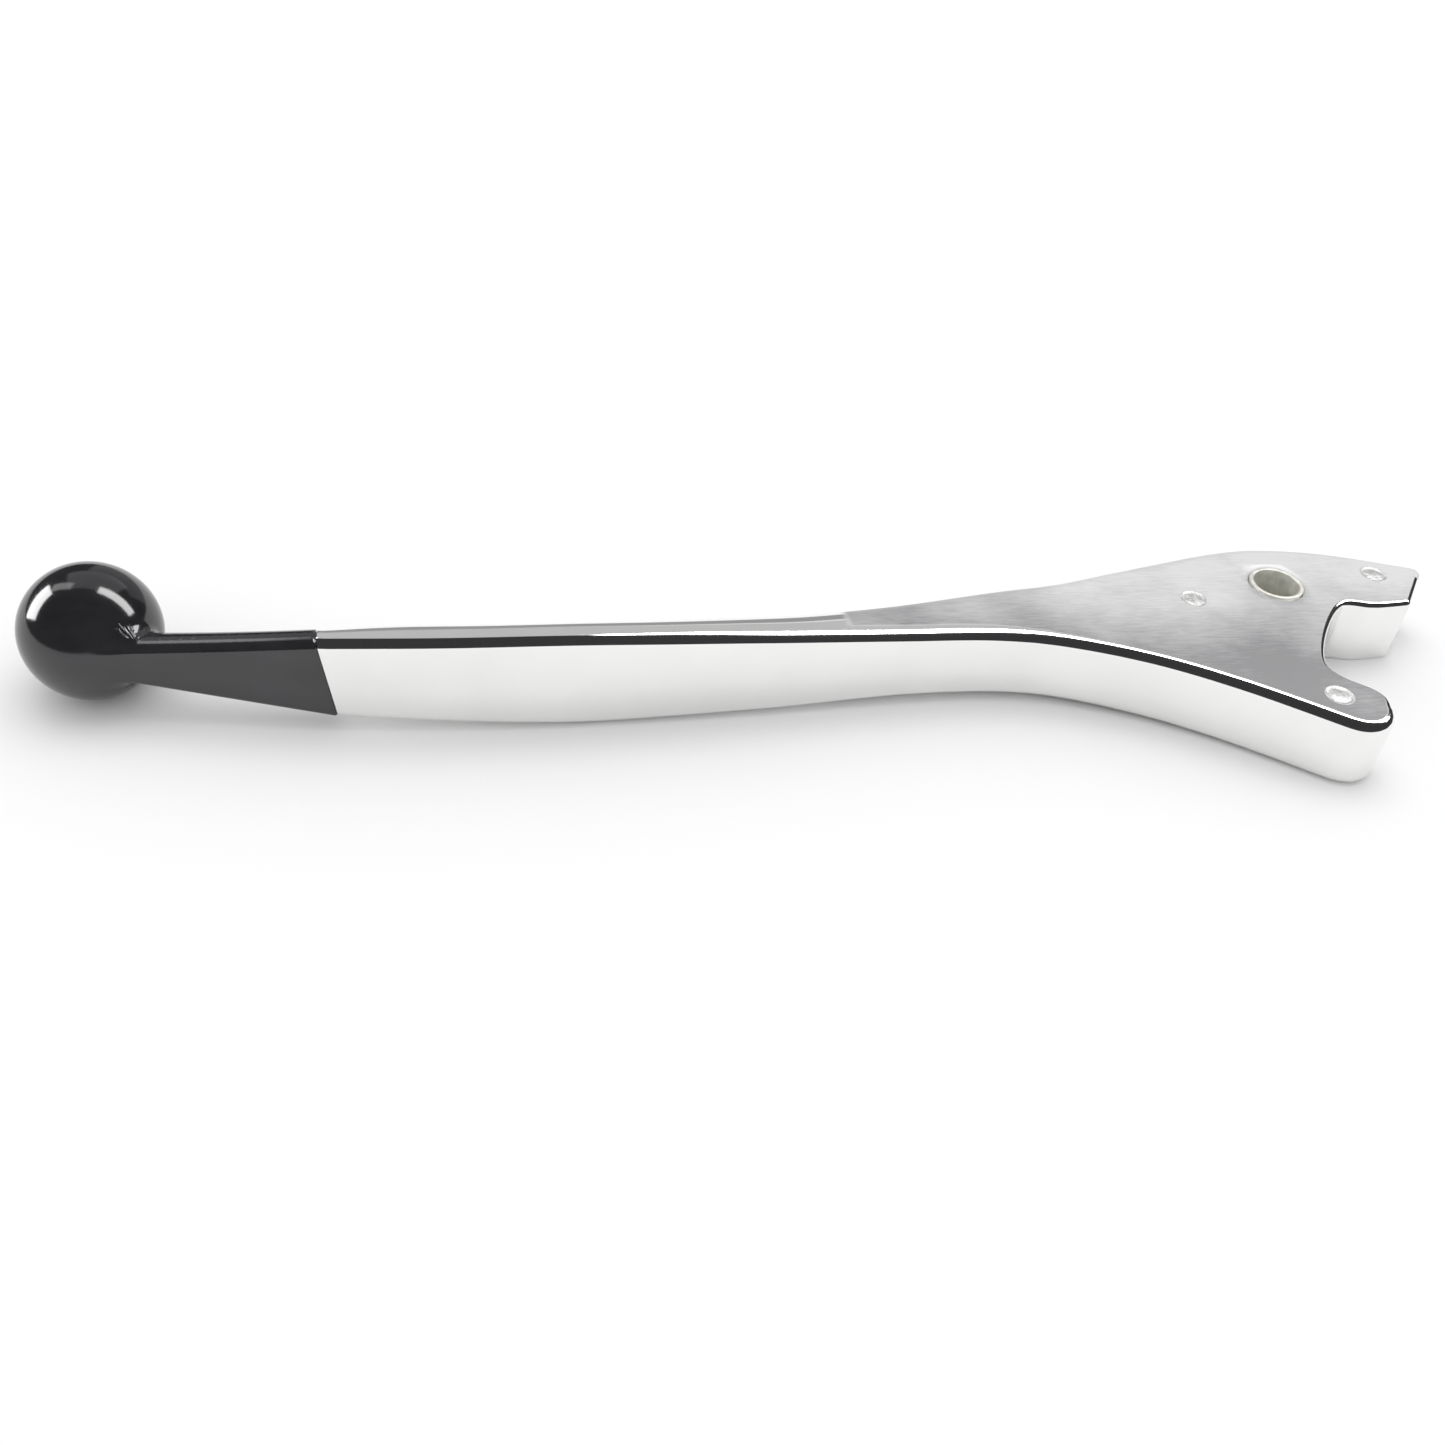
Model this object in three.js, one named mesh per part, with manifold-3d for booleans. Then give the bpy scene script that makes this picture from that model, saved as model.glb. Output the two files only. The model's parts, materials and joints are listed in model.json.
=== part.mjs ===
// Hand lever of a hydraulic motorcycle brake: a cast blade with a flat pivot plate, a plastic ball
// cap pressed on its finger end, and a thin bush in the pivot hole.
//
// Millimetres, +Z up along the pivot axis. The shapes are drawn from the middle of the ball end: x
// runs towards the pivot, y towards the side that the fingers pull from, and z is 0 on the
// mid-plane, about which the outlines are symmetric. The finished group is moved so that its
// origin is under the middle of its box, at the level of its lowest point.

import * as THREE from 'three';
import { mergeVertices } from 'three/addons/utils/BufferGeometryUtils.js';
import Module from 'manifold-3d';

const wasm = await Module();
wasm.setup();

// ---- Driving dimensions ----

const BALL_CENTRE = new THREE.Vector2(0.4, -0.2);
const BALL_RADIUS = 8.1;

// Edge that faces the handlebar, as [x, y], from inside the ball to the nose.
const BAR_SIDE = [
  [0, -7.55], [9, -7.95], [18, -9.2], [28, -10.5], [52, -11.7], [78, -10.9],
  [100, -9.6], [108, -9.6], [115, -10.5], [126, -14.4], [136, -20],
];
// Edge that faces the fingers, as [x, y], from the cap's mouth to the top of the plate's hump.
const FINGER_SIDE = [
  [18, -6.5], [28, -5.35], [36, -4.75], [48, -5.15], [60, -4.95], [71, -4.2], [83, -2.85],
  [97, -0.95], [111, 1.15], [118, 2.15], [126, 4.4], [134, 6.7], [142, 8.9],
];
const CAP_FINGER_SIDE = [[0, -2.4], [9, -3], [18, -4.2], [28, -5.3], [36, -6.1]];

// Full height along the pivot axis, as [x, height].
const CASTING_HEIGHT = [
  [18, 9.6], [28, 11.2], [40, 12.2], [55, 13.1], [66, 12.7], [78, 11.8], [90, 10.6],
  [101, 9.5], [110, 9.2], [124, 9.5], [136, 9.5], [180, 9.5],
];
const CAP_HEIGHT = [[0, 4.4], [9, 6.4], [18, 8.6], [28, 11.4], [36, 13.6]];

// Pivot plate.
const PLATE_THICKNESS = 9.5;
const PLATE_START = 126;
const PIVOT = new THREE.Vector2(149.5, 1);
const BORE_RADIUS = 3.6;
const BORE_CHAMFER = 0.4;
const NOSE = { centre: new THREE.Vector2(149.1, -23.8), radius: 4.5, from: -126, to: 62 };
// Gap between the nose and the stop prong, as [x, y], from the nose to the prong.
const NOTCH = [
  [149.7, -18.5], [148.7, -16.6], [149.3, -14.1], [151.3, -10.4], [153.9, -6.7], [156.3, -4.1],
  [158.2, -3.4], [161.4, -4.1],
];
// Stop prong: a flat slanted end between two rounded corners.
const PRONG_CORNER = { centre: new THREE.Vector2(166.35, -2.7), radius: 0.9, from: -83, to: -37 };
const PRONG_TIP = { centre: new THREE.Vector2(170.7, 3.6), radius: 1.2, from: -37, to: 73 };
// Finger side of the plate from the prong to the hump over the pivot, as [x, y].
const HUMP = [[165, 6.65], [157, 9.1], [149.5, 10.05]];

// Rounding of the casting's edges: how far it reaches across the top, and down the side.
const BAR_SIDE_ROUNDING = 1.3;
const NOTCH_ROUNDING = 0.7;
const BACK_ROUNDING_PLATE = 2;
const BACK_ROUNDING_BLENDS = [80, 118];
const CAP_BAR_SIDE_ROUNDING = 0.9;
// A fully rounded finger side takes this share of the depth and of the half height.
const BACK_ROUNDING_SHARE = 0.65;
const FULL_ROUND = 0.92;
const HIDDEN_END_ROUNDING = { across: 0.3, down: 0.3 };
const ROUNDING_STEPS = 4;

// Round ejector-pin marks on the plate's top, as [x, y].
const EJECTOR_MARKS = [[136.4, -2.3], [164.6, 3], [147.2, -22.2]];
const EJECTOR_RADIUS = 1.7;
const EJECTOR_DEPTH = 0.15;

// Joint between casting and cap: a plane across the blade that leans with height.
const JOINT_X = 27.7;
const CASTING_START = 20;
const CAP_START = 1;
const CAP_END = 35;
const JOINT_LEAN = THREE.MathUtils.degToRad(-9.6);
const JOINT_GAP = 0.1;

// Square tang of the casting inside the cap, and the cap's room around it. It lies nearer to the bar
// side, so that its corners stay inside the cap's rounded finger side.
const TANG_SIDES = [[3, -6.7, -4.9], [10, -7.05, -5.1], [34, -10.3, -7.9]];
const TANG_HEIGHT = [[0, 3.2], [34, 8]];
const TANG_ROUNDING = 0.5;
const TANG_CLEARANCE = 0.15;

const BUSH_OUTER_RADIUS = 3.55;
const BUSH_INNER_RADIUS = 3;
const BUSH_LENGTH = 9.7;
const BUSH_CHAMFER = 0.15;

const ROUND_SEGMENTS = 64;
const REACH = 60;

// ---- Curves ----

// Smooth curve through [x, value] points, as a function of x.
function profile(points) {
  const xs = points.map(([x]) => x);
  const values = points.map(([, value]) => value);
  const curve = new THREE.CubicInterpolant(xs, values, 1);
  return (x) => curve.evaluate(x)[0];
}

const barSide = profile(BAR_SIDE);
const fingerSide = profile(FINGER_SIDE);
const capFingerSide = profile(CAP_FINGER_SIDE);
const castingHalfHeight = profile(CASTING_HEIGHT.map(([x, height]) => [x, height / 2]));
const capHalfHeight = profile(CAP_HEIGHT.map(([x, height]) => [x, height / 2]));

// Points along a side from one x to another.
function along(side, from, to, count) {
  return Array.from({ length: count + 1 }, (_, i) => {
    const x = THREE.MathUtils.lerp(from, to, i / count);
    return new THREE.Vector2(x, side(x));
  });
}

function through(points, count) {
  return new THREE.SplineCurve(points.map(([x, y]) => new THREE.Vector2(x, y))).getPoints(count);
}

function arc({ centre, radius, from, to }, count) {
  return Array.from({ length: count + 1 }, (_, i) => {
    const angle = THREE.MathUtils.degToRad(THREE.MathUtils.lerp(from, to, i / count));
    return new THREE.Vector2(Math.cos(angle), Math.sin(angle)).multiplyScalar(radius).add(centre);
  });
}

// ---- Solids ----

// Direction into the outline at each of its points, long enough to inset both edges by one.
function inwardMitres(points) {
  const left = (from, to) => new THREE.Vector2(from.y - to.y, to.x - from.x).normalize();
  return points.map((point, i) => {
    const before = left(points.at(i - 1), point);
    const after = left(point, points[(i + 1) % points.length]);
    return before.clone().add(after).divideScalar(1 + before.dot(after));
  });
}

// Solid with the given outline, counter-clockwise. Its top and bottom follow halfHeight(x), and its
// edge is rounded over rounding(point, i).across in plan and .down in height.
function roundedSolid(points, halfHeight, rounding) {
  const mitres = inwardMitres(points);
  const rings = Array.from({ length: ROUNDING_STEPS + 1 }, (_, step) => {
    const angle = (step / ROUNDING_STEPS) * Math.PI / 2;
    return points.map((point, i) => {
      const { across, down } = rounding(point, i);
      const inset = point.clone().addScaledVector(mitres[i], across * (1 - Math.cos(angle)));
      const z = halfHeight(inset.x) - down * (1 - Math.sin(angle));
      return new THREE.Vector3(inset.x, inset.y, z);
    });
  });
  const mirrored = rings.map((ring) => ring.map(({ x, y, z }) => new THREE.Vector3(x, y, -z)));
  const levels = [...mirrored.reverse(), ...rings];
  const n = points.length;
  const faces = [];
  for (let level = 0; level < levels.length - 1; level++) {
    for (let i = 0; i < n; i++) {
      const next = (i + 1) % n;
      const [a, b] = [level * n + i, level * n + next];
      faces.push([a, b, b + n], [a, b + n, a + n]);
    }
  }
  const lid = (levels.length - 1) * n;
  for (const [a, b, c] of THREE.ShapeUtils.triangulateShape(rings.at(-1), [])) {
    faces.push([lid + a, lid + b, lid + c], [c, b, a]);
  }
  const geometry = new THREE.BufferGeometry().setFromPoints(levels.flat());
  geometry.setIndex(faces.flat());
  return toManifold(geometry);
}

function toManifold(geometry) {
  const bare = geometry.clone();
  bare.deleteAttribute('normal');
  bare.deleteAttribute('uv');
  const merged = mergeVertices(bare);
  return new wasm.Manifold(new wasm.Mesh({
    numProp: 3,
    vertProperties: new Float32Array(merged.attributes.position.array),
    triVerts: new Uint32Array(merged.index.array),
  }));
}

function toGeometry(manifold) {
  const { vertProperties, triVerts } = manifold.getMesh();
  const geometry = new THREE.BufferGeometry();
  geometry.setAttribute('position', new THREE.BufferAttribute(new Float32Array(vertProperties), 3));
  geometry.setIndex(new THREE.BufferAttribute(new Uint32Array(triVerts), 1));
  geometry.computeVertexNormals();
  return geometry;
}

// Solid of revolution about the pivot axis through a plan point, from [radius, z] points.
function turned(points, centre) {
  const outline = points.map(([radius, z]) => new THREE.Vector2(radius, z));
  const geometry = new THREE.LatheGeometry(outline, ROUND_SEGMENTS);
  geometry.rotateX(Math.PI / 2);
  geometry.translate(centre.x, centre.y, 0);
  return geometry;
}

// Block that fills everything on the ball's side of the joint plane moved along x by shift.
function ballSideOfJoint(shift) {
  const block = new THREE.BoxGeometry(REACH, REACH, REACH);
  block.translate(-REACH / 2, 0, 0);
  block.rotateY(JOINT_LEAN);
  block.translate(JOINT_X + shift, 0, 0);
  return toManifold(block);
}

// ---- Pieces ----

// Outline of the casting from inside the cap round the plate, counter-clockwise.
function castingOutline() {
  const nose = arc(NOSE, 12);
  const corner = arc(PRONG_CORNER, 3);
  const tip = arc(PRONG_TIP, 5);
  const barSideEnd = BAR_SIDE.slice(-3);
  const humpFoot = FINGER_SIDE.slice(-3).reverse();
  return [
    ...along(barSide, CASTING_START, PLATE_START, 32),
    ...through([...barSideEnd, nose[0].toArray()], 18).filter(({ x }) => x > PLATE_START + 1),
    ...nose.slice(1),
    ...through([nose.at(-1).toArray(), ...NOTCH, corner[0].toArray()], 22).slice(1),
    ...corner.slice(1),
    ...tip,
    ...through([tip.at(-1).toArray(), ...HUMP, ...humpFoot], 22).slice(1),
    ...along(fingerSide, PLATE_START, CASTING_START, 32).slice(1),
  ];
}

function castingRounding(point) {
  const depth = point.y - barSide(Math.min(point.x, PLATE_START));
  const inNotch = point.x > NOSE.centre.x - 1 && point.y > NOSE.centre.y && point.y < PIVOT.y;
  const onProng = THREE.MathUtils.smoothstep(point.x, PIVOT.x, PRONG_CORNER.centre.x);
  if (point.x === CASTING_START) return HIDDEN_END_ROUNDING;
  if (inNotch) return { across: NOTCH_ROUNDING, down: NOTCH_ROUNDING };
  if (depth < BAR_SIDE_ROUNDING) return { across: BAR_SIDE_ROUNDING, down: BAR_SIDE_ROUNDING };
  const towardsPlate = THREE.MathUtils.smoothstep(point.x, ...BACK_ROUNDING_BLENDS);
  const plateRounding = THREE.MathUtils.lerp(BACK_ROUNDING_PLATE, NOTCH_ROUNDING, onProng);
  const roundAcross = BACK_ROUNDING_SHARE * depth;
  const roundDown = FULL_ROUND * castingHalfHeight(point.x);
  return {
    across: THREE.MathUtils.lerp(roundAcross, plateRounding, towardsPlate),
    down: THREE.MathUtils.lerp(roundDown, plateRounding, towardsPlate),
  };
}

// Tang, made larger all round by the given room.
function tang(room) {
  const [[endX]] = TANG_SIDES;
  const barEdge = profile(TANG_SIDES.map(([x, y]) => [x, y - room]));
  const fingerEdge = profile(TANG_SIDES.map(([x, , y]) => [x, y + room]));
  const halfHeight = profile(TANG_HEIGHT.map(([x, height]) => [x, height / 2 + room]));
  const mouthX = TANG_SIDES.at(-1)[0];
  const outline = [
    ...along(barEdge, endX - room, mouthX, 5),
    ...along(fingerEdge, mouthX, endX - room, 5),
  ];
  return roundedSolid(outline, halfHeight, () => ({ across: TANG_ROUNDING, down: TANG_ROUNDING }));
}

function leverBlade() {
  const half = PLATE_THICKNESS / 2;
  const wide = BORE_RADIUS + BORE_CHAMFER;
  const bore = turned([
    [0, -half - BORE_CHAMFER], [wide + BORE_CHAMFER, -half - BORE_CHAMFER],
    [BORE_RADIUS, -half + BORE_CHAMFER], [BORE_RADIUS, half - BORE_CHAMFER],
    [wide + BORE_CHAMFER, half + BORE_CHAMFER], [0, half + BORE_CHAMFER],
  ], PIVOT);
  let casting = roundedSolid(castingOutline(), castingHalfHeight, castingRounding);
  casting = casting.subtract(ballSideOfJoint(0)).add(tang(0)).subtract(toManifold(bore));
  for (const [x, y] of EJECTOR_MARKS) {
    const mark = new THREE.CylinderGeometry(EJECTOR_RADIUS, EJECTOR_RADIUS, EJECTOR_DEPTH * 2, 24);
    mark.rotateX(Math.PI / 2);
    mark.translate(x, y, half);
    casting = casting.subtract(toManifold(mark));
  }
  return toGeometry(casting);
}

function ballEndCap() {
  const outline = [
    ...along(barSide, CAP_START, CAP_END, 14),
    ...along(capFingerSide, CAP_END, CAP_START, 14),
  ];
  const sleeve = roundedSolid(outline, capHalfHeight, ({ x, y }) => {
    if (x === CAP_START || x === CAP_END) return HIDDEN_END_ROUNDING;
    const depth = capFingerSide(x) - barSide(x);
    if (y < barSide(x) + depth / 2) return { across: CAP_BAR_SIDE_ROUNDING, down: CAP_BAR_SIDE_ROUNDING };
    return { across: BACK_ROUNDING_SHARE * depth, down: FULL_ROUND * capHalfHeight(x) };
  });
  const ball = new THREE.SphereGeometry(BALL_RADIUS, 48, 28);
  ball.rotateX(Math.PI / 2);
  ball.translate(BALL_CENTRE.x, BALL_CENTRE.y, 0);
  const cap = sleeve.intersect(ballSideOfJoint(-JOINT_GAP)).add(toManifold(ball));
  return toGeometry(cap.subtract(tang(TANG_CLEARANCE)));
}

function pivotBush() {
  const half = BUSH_LENGTH / 2;
  const end = half - BUSH_CHAMFER;
  return turned([
    [BUSH_INNER_RADIUS, -end], [BUSH_INNER_RADIUS + BUSH_CHAMFER, -half],
    [BUSH_OUTER_RADIUS - BUSH_CHAMFER, -half], [BUSH_OUTER_RADIUS, -end],
    [BUSH_OUTER_RADIUS, end], [BUSH_OUTER_RADIUS - BUSH_CHAMFER, half],
    [BUSH_INNER_RADIUS + BUSH_CHAMFER, half], [BUSH_INNER_RADIUS, end],
    [BUSH_INNER_RADIUS, -end],
  ], PIVOT);
}

// ---- Assembly ----

function piece(name, geometry, color, roughness, metalness) {
  const mesh = new THREE.Mesh(geometry, new THREE.MeshStandardMaterial({ color, roughness, metalness }));
  mesh.name = name;
  return mesh;
}

const lever = new THREE.Group();
lever.add(piece('lever_blade', leverBlade(), 0xc9cbc9, 0.28, 1));
lever.add(piece('ball_end_cap', ballEndCap(), 0x17171a, 0.18, 0));
lever.add(piece('pivot_bush', pivotBush(), 0x9c8d5f, 0.4, 1));

const box = new THREE.Box3().setFromObject(lever);
const middle = box.getCenter(new THREE.Vector3());
lever.position.set(-middle.x, -middle.y, -box.min.z);

const group = new THREE.Group();
group.add(lever);

export default group;
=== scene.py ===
"""Looks of a motorcycle brake lever: a polished casting with a satin plate, a glossy black ball cap
and a bronze bush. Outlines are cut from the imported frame's solids, and places are measured from its
boxes and its joint. Units are metres."""

import json
import math

import bmesh
import bpy
import numpy as np
from mathutils import Matrix, Vector
from mathutils.bvhtree import BVHTree
from mathutils.geometry import delaunay_2d_cdt

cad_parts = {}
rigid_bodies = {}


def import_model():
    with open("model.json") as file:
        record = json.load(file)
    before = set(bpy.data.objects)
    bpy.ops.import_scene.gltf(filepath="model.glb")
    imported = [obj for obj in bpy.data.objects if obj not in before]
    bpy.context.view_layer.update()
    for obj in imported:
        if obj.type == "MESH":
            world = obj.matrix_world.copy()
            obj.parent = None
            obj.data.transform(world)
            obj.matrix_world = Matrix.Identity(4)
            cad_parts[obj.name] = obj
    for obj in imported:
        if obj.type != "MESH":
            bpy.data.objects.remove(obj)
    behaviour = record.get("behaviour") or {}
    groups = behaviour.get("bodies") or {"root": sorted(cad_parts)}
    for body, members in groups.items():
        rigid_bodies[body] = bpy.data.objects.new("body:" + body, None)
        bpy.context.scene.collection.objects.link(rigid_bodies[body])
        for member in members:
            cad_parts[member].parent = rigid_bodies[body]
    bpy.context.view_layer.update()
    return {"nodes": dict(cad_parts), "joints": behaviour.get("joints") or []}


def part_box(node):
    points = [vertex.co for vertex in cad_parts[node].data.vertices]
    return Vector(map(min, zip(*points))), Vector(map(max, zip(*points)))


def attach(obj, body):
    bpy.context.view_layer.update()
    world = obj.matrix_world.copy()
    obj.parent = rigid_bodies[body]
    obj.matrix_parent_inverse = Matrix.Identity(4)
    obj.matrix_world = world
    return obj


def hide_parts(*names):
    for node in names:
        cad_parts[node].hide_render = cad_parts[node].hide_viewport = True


for leftover in list(bpy.data.objects):
    bpy.data.objects.remove(leftover)
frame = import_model()

MM = 0.001

# ---- Places, from the frame ----

MID_HEIGHT = sum(corner.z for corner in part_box("pivot_bush")) / 2
PIVOT = Vector(frame["joints"][0]["pos_m"])
PLATE_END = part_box("lever_blade")[1].x
BUSH_LOW, BUSH_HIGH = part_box("pivot_bush")
CAP_LOW, CAP_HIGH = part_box("ball_end_cap")
BALL_RADIUS = (CAP_HIGH.z - CAP_LOW.z) / 2

# ---- Sizes of the fine surface ----

OUTLINE_STEP = 0.3 * MM
ROUNDING_STEPS = 9
LID_GRID = 1.2 * MM
LID_MARGIN = 0.12 * MM
HOLE_POINTS = 128
DENT_POINTS = 96
BUSH_POINTS = 192
SHARP_ANGLE = math.radians(35)

# Behind the joint the casting's outline runs on, and is cut off there later.
CLEAR_OF_JOINT = 0.4 * MM
HIDDEN_STARTS = 3 * MM
HIDDEN_LENGTH = 5 * MM

# The bar side of grip and neck lies within BAR_SIDE_BAND of its first point. The half height is
# smoothed along x, over HEIGHT_REACH of HEIGHT_POINTS each way.
BAR_SIDE_BAND = 2 * MM
HEIGHT_POINTS = 600
HEIGHT_REACH = 30

# Edge roundings. A soft edge reaches further across than down. The round back and the round side
# of the cap take a share of the depth.
BAR_SIDE_ROUNDING = 1.3 * MM
PLATE_BACK_ROUNDING = 2.0 * MM
NOTCH_ROUNDING = 0.7 * MM
SOFT_EDGE_ACROSS = 2.4 * MM
SOFT_EDGE_DOWN = 1.0 * MM
BACK_ROUNDING_SHARE = 0.65
FULL_ROUND = 0.94
CAP_EDGE_ACROSS = 2.2 * MM
CAP_EDGE_DOWN = 1.0 * MM
CAP_BACK_SHARE = 0.65
HIDDEN_ROUNDING = 0.2 * MM

# Places along x: where the blade's round back turns into the plate's edge, where the satin starts,
# and where the soft front edge comes in and goes out.
ROUND_BACK_ENDS = PIVOT.x - 69.5 * MM
PLATE_EDGE_STARTS = PIVOT.x - 31.5 * MM
PLATE_STARTS = PIVOT.x - 23.5 * MM
SATIN_STARTS = PIVOT.x - 61 * MM
SOFT_EDGE_BEGINS = PIVOT.x - 92 * MM, PIVOT.x - 68 * MM
SOFT_EDGE_ENDS = PIVOT.x - 46 * MM, PIVOT.x - 26 * MM

# The nose and the gap above it lie beyond NOTCH_X, and the gap's foot is at NOTCH_FOOT. The prong's
# edges grow sharper over PRONG_LENGTH.
NOTCH_X = PIVOT.x - 2 * MM
NOTCH_FOOT = PIVOT.y - 24.5 * MM
PRONG_LENGTH = 16 * MM

# Satin: how far along x it takes to come in on the faces and on the back, how far down the back
# it reaches before it starts to fade, how far it keeps from the polished edges in front of it and
# beside the pivot, how level a face is, and the range of depth over which the satin's painted
# shade changes: its colour is painted darker near the bar side and lighter towards the back.
SATIN_COMES_IN = 1.4 * MM
SATIN_SIDE_COMES_IN = 22 * MM
SATIN_EDGE = 2.2 * MM
SATIN_FRONT_MARGIN = 0.5 * MM
SATIN_PLATE_BACK = PIVOT.y + 1.2 * MM
FLAT = 0.004 * MM
PAINTED_SHADE_RANGE = -7 * MM, 22 * MM

BORE_CHAMFER = 0.4 * MM
BUSH_CLEARANCE = 0.05 * MM
BUSH_WALL = 0.55 * MM
BUSH_CORNER = 0.14 * MM
JOINT_GAP = 0.1 * MM
TANG_ROOM = 0.15 * MM
CAP_VOXEL = 0.16 * MM
CAP_BLEND = 1.4 * MM
CAP_RIM = 0.25 * MM
CAP_STATIONS = 60
FILLET_ROUNDS = 4
SETTLING_ROUNDS = 2

# Ejector-pin marks on the plate's top, in millimetres from the pivot, and their rings, as (share of
# the radius, depth in millimetres): a raised rim round a shallow dent.
EJECTOR_MARKS = ((-13.1, -3.3), (15.1, 2.0), (-2.3, -23.2))
EJECTOR_RADIUS = 1.65 * MM
EJECTOR_RINGS = ((1.12, 0), (1.0, -0.03), (0.9, 0.14), (0.78, 0.12), (0.62, 0.05))


# ---- Reading the frame's shapes ----

def section(node, point, normal):
    """Cut of a CAD node by a plane, as closed loops of points in order."""
    bm = bmesh.new()
    bm.from_mesh(frame["nodes"][node].data)
    bmesh.ops.remove_doubles(bm, verts=bm.verts, dist=0.5e-6)
    cut = bmesh.ops.bisect_plane(
        bm, geom=bm.verts[:] + bm.edges[:] + bm.faces[:], plane_co=point, plane_no=normal,
        clear_inner=True, clear_outer=True)["geom_cut"]
    edges = {item for item in cut if isinstance(item, bmesh.types.BMEdge)}
    loops = []
    while edges:
        edge = edges.pop()
        start, vert = edge.verts
        loop = [start.co.copy(), vert.co.copy()]
        while vert != start:
            edge = next(e for e in vert.link_edges if e in edges)
            edges.remove(edge)
            vert = edge.other_vert(vert)
            loop.append(vert.co.copy())
        loops.append(np.array(loop[:-1]))
    bm.free()
    return loops


def plan_section(node, height=0.0):
    """Outer loop of a node's cut parallel to the plate, counter-clockwise, as (n, 2) points."""
    loops = section(node, (0, 0, MID_HEIGHT + height), (0, 0, 1))
    outer = max(loops, key=lambda loop: np.ptp(loop[:, 0]))[:, :2]
    return outer if signed_area(outer) > 0 else outer[::-1]


def signed_area(points):
    x, y = points.T
    return 0.5 * float(np.sum(x * np.roll(y, -1) - np.roll(x, -1) * y))


def cross_sizes(node, first, last, count):
    """Stations along x, and at each the node's least y, greatest y and half height."""
    stations = np.linspace(first, last, count)
    cuts = [np.vstack(section(node, (x, 0, 0), (1, 0, 0))) for x in stations]
    least, greatest = (np.array([pick(cut[:, 1]) for cut in cuts]) for pick in (np.min, np.max))
    return stations, least, greatest, np.array([cut[:, 2].max() for cut in cuts]) - MID_HEIGHT


# ---- Curves ----

def smooth_closed(points, rounds=3):
    """Closed cubic subdivision of a polygon."""
    for _ in range(rounds):
        before = np.roll(points, 1, axis=0)
        after = np.roll(points, -1, axis=0)
        corners = (before + 6 * points + after) / 8
        middles = (points + after) / 2
        points = np.stack([corners, middles], axis=1).reshape(-1, 2)
    return points


def resample(points, step):
    """Points a step apart along a closed line."""
    line = np.vstack([points, points[:1]])
    lengths = np.r_[0, np.cumsum(np.linalg.norm(np.diff(line, axis=0), axis=1))]
    count = int(round(lengths[-1] / step))
    at = np.linspace(0, lengths[-1], count + 1)[:-1]
    return np.stack([np.interp(at, lengths, line[:, k]) for k in range(2)], axis=1)


def smoothed(values, reach):
    """Values of a closed ring, averaged over reach neighbours each way."""
    weights = np.hanning(2 * reach + 3)[1:-1]
    ring = np.concatenate([values[-reach:], values, values[:reach]])
    return np.convolve(ring, weights / weights.sum(), mode="valid")


def smoothstep(values, low, high):
    t = np.clip((values - low) / (high - low), 0, 1)
    return t * t * (3 - 2 * t)


def inward(points):
    """Unit direction into a counter-clockwise outline at each point."""
    tangent = np.roll(points, -1, axis=0) - np.roll(points, 1, axis=0)
    tangent /= np.linalg.norm(tangent, axis=1, keepdims=True)
    return np.stack([-tangent[:, 1], tangent[:, 0]], axis=1)


# ---- Meshes ----

def new_object(name, vertices, faces):
    mesh = bpy.data.meshes.new(name)
    mesh.from_pydata([tuple(v) for v in vertices], [], faces)
    mesh.validate()
    obj = bpy.data.objects.new(name, mesh)
    bpy.context.scene.collection.objects.link(obj)
    return obj


def shade_smooth(obj):
    obj.data.shade_smooth()
    obj.data.set_sharp_from_angle(angle=SHARP_ANGLE)


def rounded_solid(points, half_height, across, down, holes=(), dents=()):
    """Vertices and faces of a solid about the mid-plane, with an elliptical edge rounding.

    points is the outline, counter-clockwise. half_height gives z over x. across and down say how far
    the rounding reaches at each point. holes are (centre, radius, chamfer), cut right through, and
    dents are (centre, radii, depths), rings pressed into the top alone.
    """
    count = len(points)
    direction = inward(points)
    angles = np.linspace(0, math.pi / 2, ROUNDING_STEPS + 1)
    rings = []
    for angle in angles:
        plan = points + direction * (across * (1 - math.cos(angle)))[:, None]
        z = half_height(plan[:, 0]) - down * (1 - math.sin(angle))
        rings.append(np.column_stack([plan, z]))
    flat = points + direction * (across + LID_MARGIN)[:, None]
    rings.append(np.column_stack([flat, half_height(flat[:, 0])]))
    vertices = [v for ring in rings for v in ring] + [v * (1, 1, -1) for ring in rings for v in ring]
    lower = len(rings) * count
    faces = []
    for i in range(count):
        j = (i + 1) % count
        faces.append((lower + i, lower + j, j, i))
        for k in range(len(rings) - 1):
            a, b = k * count, (k + 1) * count
            faces.append((a + i, a + j, b + j, b + i))
            faces.append((lower + b + i, lower + b + j, lower + a + j, lower + a + i))
    for side, marks in ((1, dents), (-1, ())):
        add_lid(vertices, faces, rings[-1][:, :2], half_height, holes, marks, side)
    return vertices, faces


def circle(centre, radius, count):
    angles = np.linspace(0, 2 * math.pi, count, endpoint=False)
    return np.column_stack([centre[0] + radius * np.cos(angles), centre[1] + radius * np.sin(angles)])


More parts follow.
